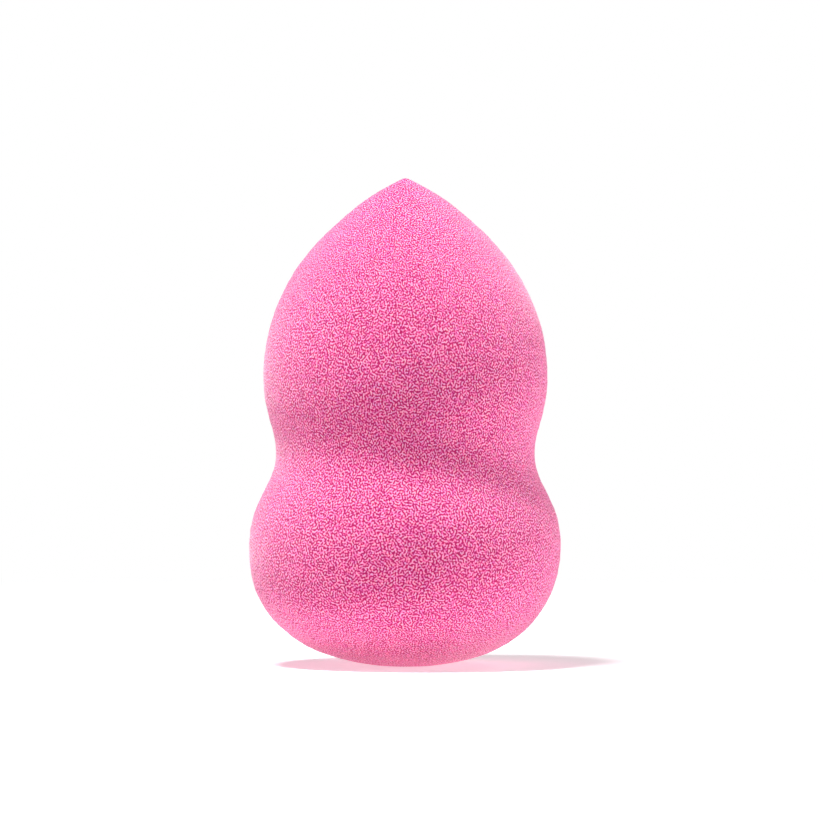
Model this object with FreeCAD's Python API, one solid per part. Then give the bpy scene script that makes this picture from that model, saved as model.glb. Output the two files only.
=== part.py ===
import FreeCAD, Part
import math
import os

# A makeup sponge: one moulding of soft open-cell foam in the shape of a gourd.
# A wide bulb stands on a small flat foot. Above it a waist is drawn in for the fingers, and the head
# above the waist runs up to a point that reaches beside the nose and under the eyes.
# Millimetres and degrees, +Z up, with the origin at the centre of the foot.
# Each rise is measured up from the ring below it, so that a change of one moves all that stands on it.
# Each ring's rounding is the outline's radius of curvature there, on both sides of the ring.
# Each fullness is a share: how far an end's slope runs on towards the side of the next ring.

# Underside: it leaves the table at the foot's edge with a slight lift and swells out into the bulb
FOOT_DIAMETER = 7.0
FOOT_LIFT = 6.2
UNDERSIDE_FULLNESS = 0.88

# Bulb: the wide end, at its widest ring
BULB_DIAMETER = 40.0
BULB_RISE = 15.2
BULB_ROUNDING = 18.3

# Waist: the hollow between bulb and head, at its narrowest ring
WAIST_DIAMETER = 33.2
WAIST_RISE = 12.2
WAIST_ROUNDING = 9.0

# Head: the slimmer end above the waist, at its widest ring
HEAD_DIAMETER = 36.5
HEAD_RISE = 10.0
HEAD_ROUNDING = 26.0

# Point: the flanks of the head close in on it at an angle, with a small ball end between them
POINT_RISE = 25.3
POINT_ANGLE = 124.0
POINT_ROUNDING = 1.1
FLANK_FULLNESS = 0.93

UP = FreeCAD.Vector(0, 0, 1)
FOOT_CENTRE = FreeCAD.Vector(0, 0, 0)
FULL_TURN = 360


def on_outline(radius, height):
    """A point of the half outline, which lies in the XZ plane."""
    return FreeCAD.Vector(radius, 0, height)


def cubic(*poles):
    """A cubic from the first pole to the last that leaves and arrives along its two handles."""
    curve = Part.BezierCurve()
    curve.setPoles(list(poles))
    return curve.toShape()


def handle(rounding, ring, far_pole):
    """The upright handle that gives a cubic its rounding at a ring.

    A cubic's radius of curvature at its end is 3 handle^2 / (2 distance), where distance is how far the
    far pole stands from the end's tangent. The spans on both sides of a ring take their handles from the
    same rounding, so the curvature runs on through the ring and the skin shows no line there.
    """
    distance = abs(ring.x - far_pole.x)
    return UP * math.sqrt(2 * rounding * distance / 3)


def run_out(end, slope, ring, fullness):
    """The pole of an end's handle: along the end's slope, a share of the way out to the ring's side."""
    reach = fullness * (ring.x - end.x)
    return end + on_outline(reach, reach * slope)


def outline():
    """Half of the outline, from the centre of the foot to the top, as edges in order."""
    half_angle = math.radians(POINT_ANGLE / 2)
    foot = on_outline(FOOT_DIAMETER / 2, 0)
    bulb = on_outline(BULB_DIAMETER / 2, BULB_RISE)
    waist = on_outline(WAIST_DIAMETER / 2, bulb.z + WAIST_RISE)
    head = on_outline(HEAD_DIAMETER / 2, waist.z + HEAD_RISE)
    top = on_outline(0, head.z + POINT_RISE)

    ball_centre = top - UP * POINT_ROUNDING

    def on_ball(angle):
        return ball_centre + on_outline(math.cos(angle), math.sin(angle)) * POINT_ROUNDING

    flank_end = on_ball(half_angle)
    foot_pole = run_out(foot, math.tan(math.radians(FOOT_LIFT)), bulb, UNDERSIDE_FULLNESS)
    flank_pole = run_out(flank_end, -1 / math.tan(half_angle), head, FLANK_FULLNESS)

    return [
        Part.LineSegment(FOOT_CENTRE, foot).toShape(),
        cubic(foot, foot_pole, bulb - handle(BULB_ROUNDING, bulb, foot_pole), bulb),
        cubic(
            bulb,
            bulb + handle(BULB_ROUNDING, bulb, waist),
            waist - handle(WAIST_ROUNDING, waist, bulb),
            waist,
        ),
        cubic(
            waist,
            waist + handle(WAIST_ROUNDING, waist, head),
            head - handle(HEAD_ROUNDING, head, waist),
            head,
        ),
        cubic(head, head + handle(HEAD_ROUNDING, head, flank_pole), flank_pole, flank_end),
        Part.Arc(flank_end, on_ball((half_angle + math.pi / 2) / 2), top).toShape(),
        Part.LineSegment(top, FOOT_CENTRE).toShape(),
    ]


def sponge_body():
    """The whole sponge: half of its outline, closed along the axis and turned about it."""
    half_section = Part.Face(Part.Wire(outline()))
    return half_section.revolve(FOOT_CENTRE, UP, FULL_TURN)


os.makedirs("parts", exist_ok=True)
sponge = sponge_body()
sponge.exportStep("parts/sponge_body.step")
box = sponge.BoundBox
print(f"sponge_body: {box.XLength:.2f} x {box.YLength:.2f} x {box.ZLength:.2f} mm, "
      f"{sponge.Volume:.0f} mm3, valid {sponge.isValid()}")
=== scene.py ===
import math

import bpy
import numpy as np
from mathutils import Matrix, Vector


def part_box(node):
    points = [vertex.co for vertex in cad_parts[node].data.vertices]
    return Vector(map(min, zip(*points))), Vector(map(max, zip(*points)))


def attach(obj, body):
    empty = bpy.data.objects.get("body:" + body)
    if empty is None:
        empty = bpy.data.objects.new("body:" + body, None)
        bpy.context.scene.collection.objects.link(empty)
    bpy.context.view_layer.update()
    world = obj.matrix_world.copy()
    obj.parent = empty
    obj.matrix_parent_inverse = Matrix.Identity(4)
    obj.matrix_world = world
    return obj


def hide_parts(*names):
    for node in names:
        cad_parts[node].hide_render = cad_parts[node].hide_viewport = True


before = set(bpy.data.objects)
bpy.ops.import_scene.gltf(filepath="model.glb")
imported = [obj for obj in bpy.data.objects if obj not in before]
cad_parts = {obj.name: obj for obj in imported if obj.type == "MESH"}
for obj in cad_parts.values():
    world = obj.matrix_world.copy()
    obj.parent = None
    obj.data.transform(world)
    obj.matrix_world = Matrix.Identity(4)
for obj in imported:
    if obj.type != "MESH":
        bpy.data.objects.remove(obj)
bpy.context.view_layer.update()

# A makeup sponge, moulded in one piece from soft pink foam and standing on its foot.
# Metres throughout, +Z up, with the origin at the centre of the foot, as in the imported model.
MM = 0.001
SEED = 7

# The outline, as in the solid: each ring is where the side stands upright, and its rounding is the
# outline's radius of curvature there. The bulb's width and the whole height come from the frame.
high_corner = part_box("sponge_body")[1]
HEIGHT = high_corner.z
BULB_RADIUS = high_corner.x
BULB_HEIGHT = 15.2 * MM
BULB_ROUNDING = 18.3 * MM
WAIST_RADIUS = 16.6 * MM
WAIST_HEIGHT = 27.4 * MM
WAIST_ROUNDING = 9.0 * MM
HEAD_RADIUS = 18.25 * MM
HEAD_HEIGHT = 37.4 * MM
HEAD_ROUNDING = 26.0 * MM
FOOT_RADIUS = 3.5 * MM
FOOT_LIFT = math.radians(6.2)
UNDERSIDE_FULLNESS = 0.88
POINT_HALF_ANGLE = math.radians(62)
POINT_ROUNDING = 1.1 * MM
FLANK_FULLNESS = 0.93
SPAN_STEPS = 1500

# The skin: six square patches of this many faces along each side, closed into one body where their edge
# points agree to this many digits. The bake's sheet takes the patches as columns by rows of squares, each
# with a gutter of this share of the square.
PATCH_FACES = 128
MERGE_DIGITS = 7
PATCH_SQUARES = (3, 2)
PATCH_GUTTER = 0.01

# The skin laid flat, for its pores: the side unrolled at one radius, and the two ends pressed flat, each
# as far as its reach along the skin and at a place well clear of the side
PORE_MAP = "Pores"
SIDE_RADIUS = 18.0 * MM
UNDERSIDE_REACH = 15.5 * MM
CAP_REACH = 18.5 * MM
UNDERSIDE_PLACE = (300 * MM, 0)
CAP_PLACE = (600 * MM, 0)

# Unevenness of soft foam: (distance between swells, height of a swell), from the coarsest to the finest
SWELLS = ((11.0 * MM, 0.11 * MM), (3.6 * MM, 0.05 * MM), (0.65 * MM, 0.045 * MM))
FOOT_CALM = 2.0 * MM
POINT_CALM = 4.0 * MM

# Two soft departures from the turned form: the bulb sags a little to one side above the foot, and the
# flanks stand a little fuller just below the point
SAG = 0.19 * MM
SAG_HEIGHT = 9.5 * MM
SAG_REACH = 5.5 * MM
FLANK_SWELL = 0.17 * MM
FLANK_SWELL_HEIGHT = HEIGHT - 2.6 * MM
FLANK_SWELL_REACH = 1.9 * MM

# The photograph's view: level with the sponge, from far enough back that its sides look straight on
IMAGE_WIDTH = 106.02 * MM
CAMERA_DISTANCE = 589 * MM
CAMERA_HEIGHT = 32.68 * MM
CAMERA_ASIDE = 0.77 * MM
SENSOR = 36.0


def linear(hex_colour):
    """A colour written as sRGB hex, as linear RGBA: each channel's sRGB curve undone."""
    srgb = np.array([int(hex_colour[i:i + 2], 16) for i in (1, 3, 5)]) / 255
    rgb = np.where(srgb <= 0.04045, srgb / 12.92, ((srgb + 0.055) / 1.055) ** 2.4)
    return (*rgb.tolist(), 1.0)


def cubic(start, start_pole, end_pole, end):
    """Points of a cubic: its four poles weighed by (1-t)^3, 3t(1-t)^2, 3t^2(1-t) and t^3."""
    t = np.linspace(0, 1, SPAN_STEPS)[:, None]
    weights = (1 - t) ** 3, 3 * t * (1 - t) ** 2, 3 * t**2 * (1 - t), t**3
    return sum(w * np.array(p) for w, p in zip(weights, (start, start_pole, end_pole, end)))


def handle(rounding, distance):
    """How far a cubic's pole stands above or below a ring, to round the side by that radius there."""
    return math.sqrt(2 * rounding * distance / 3)


def outline():
    """Half of the sponge's outline as (radius, height) points, from the centre of the foot to the top.

    A flat foot, four cubics that share one rounding at each ring, and a ball end whose sides go on along
    the flanks of the head.
    """
    ball_centre = HEIGHT - POINT_ROUNDING
    flank_end = (POINT_ROUNDING * math.cos(POINT_HALF_ANGLE),
                 ball_centre + POINT_ROUNDING * math.sin(POINT_HALF_ANGLE))
    foot_reach = UNDERSIDE_FULLNESS * (BULB_RADIUS - FOOT_RADIUS)
    foot_pole = (FOOT_RADIUS + foot_reach, foot_reach * math.tan(FOOT_LIFT))
    flank_reach = FLANK_FULLNESS * (HEAD_RADIUS - flank_end[0])
    flank_pole = (flank_end[0] + flank_reach, flank_end[1] - flank_reach / math.tan(POINT_HALF_ANGLE))

    bulb_step = BULB_RADIUS - WAIST_RADIUS
    head_step = HEAD_RADIUS - WAIST_RADIUS
    angle = np.linspace(POINT_HALF_ANGLE, math.pi / 2, SPAN_STEPS)
    return np.concatenate([
        np.linspace((0, 0), (FOOT_RADIUS, 0), SPAN_STEPS),
        cubic((FOOT_RADIUS, 0),
              foot_pole,
              (BULB_RADIUS, BULB_HEIGHT - handle(BULB_ROUNDING, BULB_RADIUS - foot_pole[0])),
              (BULB_RADIUS, BULB_HEIGHT))[1:],
        cubic((BULB_RADIUS, BULB_HEIGHT),
              (BULB_RADIUS, BULB_HEIGHT + handle(BULB_ROUNDING, bulb_step)),
              (WAIST_RADIUS, WAIST_HEIGHT - handle(WAIST_ROUNDING, bulb_step)),
              (WAIST_RADIUS, WAIST_HEIGHT))[1:],
        cubic((WAIST_RADIUS, WAIST_HEIGHT),
              (WAIST_RADIUS, WAIST_HEIGHT + handle(WAIST_ROUNDING, head_step)),
              (HEAD_RADIUS, HEAD_HEIGHT - handle(HEAD_ROUNDING, head_step)),
              (HEAD_RADIUS, HEAD_HEIGHT))[1:],
        cubic((HEAD_RADIUS, HEAD_HEIGHT),
              (HEAD_RADIUS, HEAD_HEIGHT + handle(HEAD_ROUNDING, HEAD_RADIUS - flank_pole[0])),
              flank_pole,
              flank_end)[1:],
        np.stack([POINT_ROUNDING * np.cos(angle), ball_centre + POINT_ROUNDING * np.sin(angle)], 1)[1:],
    ])


def ball_patches():
    """A unit ball as six square patches: directions, faces and the corner places of each face in its patch.

    Each patch is a side of a cube, ruled at even angles and pushed out to the ball. Points that two patches
    share are merged, so the skin is closed, with no seam and no pole.
    """
    ruler = np.linspace(-1, 1, PATCH_FACES + 1)
    across, up = np.meshgrid(np.tan(ruler * math.pi / 4), np.tan(ruler * math.pi / 4), indexing="ij")
    x, y, z = np.eye(3)
    sides = ((x, y, z), (-x, z, y), (y, z, x), (-y, x, z), (z, x, y), (-z, y, x))
    grids = np.stack([out + across[..., None] * a + up[..., None] * b for out, a, b in sides])
    directions = grids / np.linalg.norm(grids, axis=-1, keepdims=True)
    shared, index = np.unique(directions.reshape(-1, 3).round(MERGE_DIGITS), axis=0, return_inverse=True)
    index = index.reshape(grids.shape[:3])
    faces = np.stack([index[:, :-1, :-1], index[:, 1:, :-1], index[:, 1:, 1:], index[:, :-1, 1:]], -1)
    share = (ruler + 1) / 2
    place = np.stack(np.meshgrid(share, share, indexing="ij"), -1)
    corners = np.stack([place[:-1, :-1], place[1:, :-1], place[1:, 1:], place[:-1, 1:]], 2)
    return shared, faces, corners


def smooth_step(value):
    """0 below 0, 1 above 1, and 3v^2 - 2v^3 between."""
    value = np.clip(value, 0, 1)
    return value * value * (3 - 2 * value)


def swell(points, spacing, random):
    """Smooth noise from -1 to 1: random heights on a cubic lattice, eased between its eight corners."""
    place = (points - points.min(axis=0)) / spacing
    corner = np.floor(place).astype(int)
    ease = smooth_step(place - corner)
    heights = random.uniform(-1, 1, corner.max(axis=0) + 2)
    weighed = [np.prod(np.where(step, ease, 1 - ease), axis=1) * heights[tuple((corner + step).T)]
               for step in np.ndindex(2, 2, 2)]
    return sum(weighed)


def sponge_skin():
    """The sponge's points, faces, patch places and pore places.

    Each direction of the ball goes to the outline point with the same share of the skin's area below it,
    carried round the axis to the direction's own angle, so all faces are about equal in area. The skin is
    then moved along its own normal by the swells, which die away at the foot and the point, and the bulb
    sags aside.
    """
    directions, faces, patch_places = ball_patches()
    half = outline()
    radius, height = half.T
    step = np.linalg.norm(np.diff(half, axis=0), axis=1)
    length = np.concatenate([[0], np.cumsum(step)])
    area = np.concatenate([[0], np.cumsum(step * (radius[1:] + radius[:-1]) / 2)])
    out_radius = np.gradient(height, length)
    out_height = -np.gradient(radius, length)

    share = (1 + directions[:, 2]) / 2 * area[-1]
    about_axis = np.hypot(directions[:, 0], directions[:, 1])
    round_axis = directions[:, :2] / np.where(about_axis > 0, about_axis, 1)[:, None]

    def turned(along_radius, along_height):
        """Values along the outline, carried round the axis to each point."""
        return np.column_stack([round_axis * np.interp(share, area, along_radius)[:, None],
                                np.interp(share, area, along_height)])

    points = turned(radius, height)
    normals = turned(out_radius, out_height)
    random = np.random.default_rng(SEED)
    rise = sum(size * swell(points, spacing, random) for spacing, size in SWELLS)
    rise = rise * smooth_step(points[:, 2] / FOOT_CALM) * smooth_step((HEIGHT - points[:, 2]) / POINT_CALM)
    rise += FLANK_SWELL * np.exp(-((points[:, 2] - FLANK_SWELL_HEIGHT) / FLANK_SWELL_REACH) ** 2)
    sag = SAG * np.exp(-((points[:, 2] - SAG_HEIGHT) / SAG_REACH) ** 2)
    points = points + normals * rise[:, None]
    points[:, 0] -= sag * smooth_step(points[:, 2] / FOOT_CALM)
    pore_places = skin_places(np.interp(share, area, length), length[-1], round_axis, faces)
    return points, faces, patch_places, pore_places


def skin_places(climb, whole_climb, round_axis, faces):
    """Where each face corner lies on the skin laid flat, in metres, so that pores keep their size all over.

    The side is unrolled: angle times one radius across, and climb along the outline upwards. The underside
    and the cap are pressed flat: distance along the skin from the foot's centre or from the point, at the
    same angle. The unrolled side is cut at the back.
    """
    angle = np.arctan2(round_axis[:, 0], -round_axis[:, 1])[faces]
    turn = angle - angle[..., :1]
    angle = angle[..., :1] + (turn + math.pi) % (2 * math.pi) - math.pi
    climb = climb[faces]
    from_point = whole_climb - climb
    flat = np.stack([np.sin(angle), -np.cos(angle)], -1)
    side = np.stack([angle * SIDE_RADIUS, climb], -1)
    underside = flat * climb[..., None] + UNDERSIDE_PLACE
    cap = flat * from_point[..., None] + CAP_PLACE
    is_underside = climb.mean(-1) < UNDERSIDE_REACH
    is_cap = from_point.mean(-1) < CAP_REACH
    places = np.where(is_underside[..., None, None], underside, side)
    return np.where(is_cap[..., None, None], cap, places)


def mesh_piece(name, points, faces, patch_places, pore_places, material):
    """A smooth mesh of four-sided faces with two maps.

    OFBake lays the six patches out as squares of one sheet. Pores is the skin laid flat, in metres.
    """
    mesh = bpy.data.meshes.new(name)
    mesh.from_pydata(points.tolist(), [], faces.reshape(-1, 4).tolist())
    mesh.polygons.foreach_set("use_smooth", np.ones(len(mesh.polygons), bool))
    squares = np.array(list(np.ndindex(PATCH_SQUARES))).reshape(-1, 1, 1, 1, 2)
    sheet = (squares + PATCH_GUTTER + patch_places * (1 - 2 * PATCH_GUTTER)) / PATCH_SQUARES
    for map_name, places in (("OFBake", sheet), (PORE_MAP, pore_places)):
        mesh.uv_layers.new(name=map_name).uv.foreach_set("vector", places.astype(np.float32).ravel())
    mesh.materials.append(material)
    piece = bpy.data.objects.new(name, mesh)
    bpy.context.scene.collection.objects.link(piece)
    return piece


def add_node(tree, kind, settings=None, **inputs):
    """Adds a node, sets its properties, and links or sets its inputs.

    An input goes by its own name, in lower case with underscores. A list fills inputs that share a name.
    """
    node = tree.nodes.new(kind)
    for name, value in (settings or {}).items():
        setattr(node, name, value)
    sockets = {}
    for socket in node.inputs:
        if socket.enabled:
            sockets.setdefault(socket.name.lower().replace(" ", "_"), []).append(socket)
    for name, value in inputs.items():
        several = value if isinstance(value, list) else [value]
        for socket, item in zip(sockets[name], several):
            if isinstance(item, bpy.types.NodeSocket):
                tree.links.new(item, socket)
            else:
                socket.default_value = item
    return node


def set_ramp(ramp, stops):
    """Gives a colour ramp its stops, each a place and a colour written as sRGB hex."""
    elements = ramp.color_ramp.elements
    elements.remove(elements[1])
    elements[0].position = stops[0][0]
    elements[0].color = linear(stops[0][1])
    for place, hex_colour in stops[1:]:
        elements.new(place).color = linear(hex_colour)


def new_material(name):
    """An empty node material and its tree."""
    material = bpy.data.materials.new(name)
    material.use_nodes = True
    material.node_tree.nodes.clear()
    return material, material.node_tree


# Open-cell polyurethane foam, moulded and dyed through. Its cells open to the surface as short deep pits,
# all about as far apart and a little taller than wide. The floors of the pits are painted crimson as painted
# shade, and the walls between are the foam's pale pink. The foam is matt all over, with a faint bloom where
# the skin turns away, and no two spots of it take the dye quite alike. The pits lie aslant. The colours go
# from the painted shade at the floor of a pit to the top of a wall.
PORE_WIDTH = 0.35 * MM
PORE_HEIGHT = 0.41 * MM
PORE_DEPTH = 0.05 * MM
PORE_SLANT = math.radians(30)
PORES_ALIKE = 1.25
PORE_UNEVENNESS = 0.06
DYE_UNEVENNESS = 0.16
# From painted shade, crimson, at the floor of a pit to the foam's own pale pink at the top of a wall
FOAM_AND_PIT_SHADE_COLOURS = ((0.44, "#D00062"), (0.51, "#FF62B2"), (0.66, "#FFBCE0"))
FOAM_ROUGHNESS = 0.9
FOAM_GLOSS = 0.2
BLOOM = 0.3
BLOOM_ROUGHNESS = 0.5


def foam_material():
    """Pits and pale walls: ripples of one spacing that run every way, with crimson painted shade where they
    are low.

    They keep one direction over about PORES_ALIKE pores. Each spot of the foam, a pore wide, adds a little
    of its own to them, so pits differ in width, and takes up to DYE_UNEVENNESS off each channel of its
    colour.
    """
    material, tree = new_material("open-cell polyurethane foam")
    skin = add_node(tree, "ShaderNodeUVMap", {"uv_map": PORE_MAP}).outputs["UV"]
    place = add_node(tree, "ShaderNodeMapping", vector=skin, rotation=(0, 0, PORE_SLANT),
                     scale=(1 / PORE_WIDTH, 1 / PORE_HEIGHT, 1)).outputs["Vector"]
    ripple = add_node(tree, "ShaderNodeTexGabor", {"gabor_type": "2D"}, vector=place, scale=1 / PORES_ALIKE,
                      frequency=PORES_ALIKE, anisotropy=0.0).outputs["Value"]
    spot = add_node(tree, "ShaderNodeTexVoronoi", {"voronoi_dimensions": "2D"}, vector=place, scale=1.0)
    lot = add_node(tree, "ShaderNodeSeparateColor", color=spot.outputs["Color"]).outputs["Red"]
    spread = add_node(tree, "ShaderNodeMapRange", value=lot, to_min=-PORE_UNEVENNESS / 2,
                      to_max=PORE_UNEVENNESS / 2).outputs["Result"]
    wall = add_node(tree, "ShaderNodeMath", {"operation": "ADD"}, value=[ripple, spread]).outputs["Value"]
    # The ramp paints shade into the pits, crimson where the ripples are low, and gives the walls their pale
    # pink
    foam = add_node(tree, "ShaderNodeValToRGB", fac=wall)
    set_ramp(foam, FOAM_AND_PIT_SHADE_COLOURS)
    least_dye = (1 - DYE_UNEVENNESS,) * 3
    dye = add_node(tree, "ShaderNodeVectorMath", {"operation": "MULTIPLY_ADD"},
                   vector=[spot.outputs["Color"], (DYE_UNEVENNESS,) * 3, least_dye]).outputs["Vector"]
    colour = add_node(tree, "ShaderNodeVectorMath", {"operation": "MULTIPLY"},
                      vector=[foam.outputs["Color"], dye]).outputs["Vector"]
    relief = add_node(tree, "ShaderNodeBump", strength=1.0, distance=PORE_DEPTH,
                      height=wall).outputs["Normal"]
    shader = add_node(tree, "ShaderNodeBsdfPrincipled", base_color=colour, normal=relief,
                      roughness=FOAM_ROUGHNESS, specular_ior_level=FOAM_GLOSS,
                      sheen_weight=BLOOM, sheen_roughness=BLOOM_ROUGHNESS)
    add_node(tree, "ShaderNodeOutputMaterial", surface=shader.outputs["BSDF"])
    return material


# Matt white paper on a table that is lit from below, most of all under the sponge. It shows white and keeps
# the shadow, and fades to plain white away from the sponge, where it meets the white surroundings.
PAPER_COLOUR = "#E8E8E8"
PAPER_REACH = 3.0
SHOWN_GLOW = 0.45
GLOW_UNDER_SPONGE = 0.5
GLOW_ROUND_ABOUT = 0.12
GLOW_FADES_FROM = 10 * MM
GLOW_FADES_TO = 45 * MM
WHITE_FROM = 80 * MM
WHITE_BEYOND = 300 * MM


def seen_directly(tree):
    """1 for what the camera sees, straight or through gloss or glass, and 0 for light on its way."""
    ray = add_node(tree, "ShaderNodeLightPath").outputs
    straight_or_gloss = add_node(tree, "ShaderNodeMath", {"operation": "ADD", "use_clamp": True},
                                 value=[ray["Is Camera Ray"], ray["Is Glossy Ray"]]).outputs["Value"]
    return add_node(tree, "ShaderNodeMath", {"operation": "ADD", "use_clamp": True},
                    value=[straight_or_gloss, ray["Is Transmission Ray"]]).outputs["Value"]


def paper_material():
    """Paper with a glow added to it: one for the eye, and one for the light that it gives to the sponge.

    Both go by the distance from the middle of the foot, eased between two distances.
    """
    material, tree = new_material("matt white paper")
    place = add_node(tree, "ShaderNodeTexCoord").outputs["Object"]
    distance = add_node(tree, "ShaderNodeVectorMath", {"operation": "LENGTH"}, vector=place).outputs["Value"]
    whiteness = add_node(tree, "ShaderNodeMapRange", {"interpolation_type": "SMOOTHSTEP"}, value=distance,
                         from_min=WHITE_FROM, from_max=WHITE_BEYOND).outputs["Result"]
    given_strength = add_node(tree, "ShaderNodeMapRange", {"interpolation_type": "SMOOTHSTEP"},
                              value=distance, from_min=GLOW_FADES_FROM, from_max=GLOW_FADES_TO,
                              to_min=GLOW_UNDER_SPONGE, to_max=GLOW_ROUND_ABOUT).outputs["Result"]
    paper = add_node(tree, "ShaderNodeBsdfDiffuse", color=linear(PAPER_COLOUR)).outputs["BSDF"]
    given_glow = add_node(tree, "ShaderNodeEmission", strength=given_strength).outputs["Emission"]
    given = add_node(tree, "ShaderNodeAddShader", shader=[paper, given_glow]).outputs["Shader"]
    shown_glow = add_node(tree, "ShaderNodeEmission", strength=SHOWN_GLOW).outputs["Emission"]
    near = add_node(tree, "ShaderNodeAddShader", shader=[paper, shown_glow]).outputs["Shader"]
    white = add_node(tree, "ShaderNodeEmission", strength=1.0).outputs["Emission"]
    shown = add_node(tree, "ShaderNodeMixShader", fac=whiteness, shader=[near, white]).outputs["Shader"]
    surface = add_node(tree, "ShaderNodeMixShader", fac=seen_directly(tree),
                       shader=[given, shown]).outputs["Shader"]
    add_node(tree, "ShaderNodeOutputMaterial", surface=surface)
    return material


# Soft round lamps, all as far off and as large: (name, azimuth and elevation in degrees, watts). Azimuth 0
# is the camera's side, and 90 is the right.
LAMP_DISTANCE = 0.6
LAMP_SIZE = 0.16
LAMPS = (
    ("key above left", -50, 71, 5.6),
    ("rim behind left", -120, 5, 0.75),
    ("low right", 90, 5, 1.9),
    ("rim behind right", 120, 40, 0.5),
)


def lamp(name, azimuth, elevation, power):
    """A round lamp that faces the middle of the sponge."""
    light = bpy.data.lights.new(name, "AREA")
    light.shape = "DISK"
    light.size = LAMP_SIZE
    light.energy = power
    turn = math.radians(azimuth)
    rise = math.radians(elevation)
    way = np.array([math.sin(turn) * math.cos(rise), -math.cos(turn) * math.cos(rise), math.sin(rise)])
    lamp_object = bpy.data.objects.new(name, light)
    lamp_object.location = way * LAMP_DISTANCE + (0, 0, HEIGHT / 2)
    lamp_object.rotation_euler = (math.pi / 2 - rise, 0, turn)
    bpy.context.scene.collection.objects.link(lamp_object)


def paper_floor():
    """One square sheet, centred under the foot."""
    mesh = bpy.data.meshes.new("floor")
    corners = [(-PAPER_REACH, -PAPER_REACH, 0), (PAPER_REACH, -PAPER_REACH, 0),
               (PAPER_REACH, PAPER_REACH, 0), (-PAPER_REACH, PAPER_REACH, 0)]
    mesh.from_pydata(corners, [], [(0, 1, 2, 3)])
    mesh.materials.append(paper_material())
    floor = bpy.data.objects.new("floor", mesh)
    bpy.context.scene.collection.objects.link(floor)


def white_surroundings():
    """White to the eye, and no light on the sponge."""
    world = bpy.data.worlds.new("white surroundings")
    world.use_nodes = True
    tree = world.node_tree
    tree.nodes.clear()
    white = add_node(tree, "ShaderNodeBackground", color=(1, 1, 1, 1), strength=seen_directly(tree))
    add_node(tree, "ShaderNodeOutputWorld", surface=white.outputs["Background"])
    bpy.context.scene.world = world


def photograph_camera():
    """Level with the sponge, and framed as the photograph is."""
    view = bpy.data.cameras.new("photograph view")
    view.sensor_width = SENSOR
    view.lens = SENSOR * CAMERA_DISTANCE / IMAGE_WIDTH
    camera = bpy.data.objects.new("photograph view", view)
    camera.location = (CAMERA_ASIDE, -CAMERA_DISTANCE, CAMERA_HEIGHT)
    camera.rotation_euler = (math.pi / 2, 0, 0)
    bpy.context.scene.collection.objects.link(camera)
    bpy.context.scene.camera = camera


sponge = mesh_piece("sponge", *sponge_skin(), foam_material())
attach(sponge, "root")
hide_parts("sponge_body")

paper_floor()
white_surroundings()
for lamp_setting in LAMPS:
    lamp(*lamp_setting)
photograph_camera()
bpy.context.scene.view_settings.view_transform = "Standard"
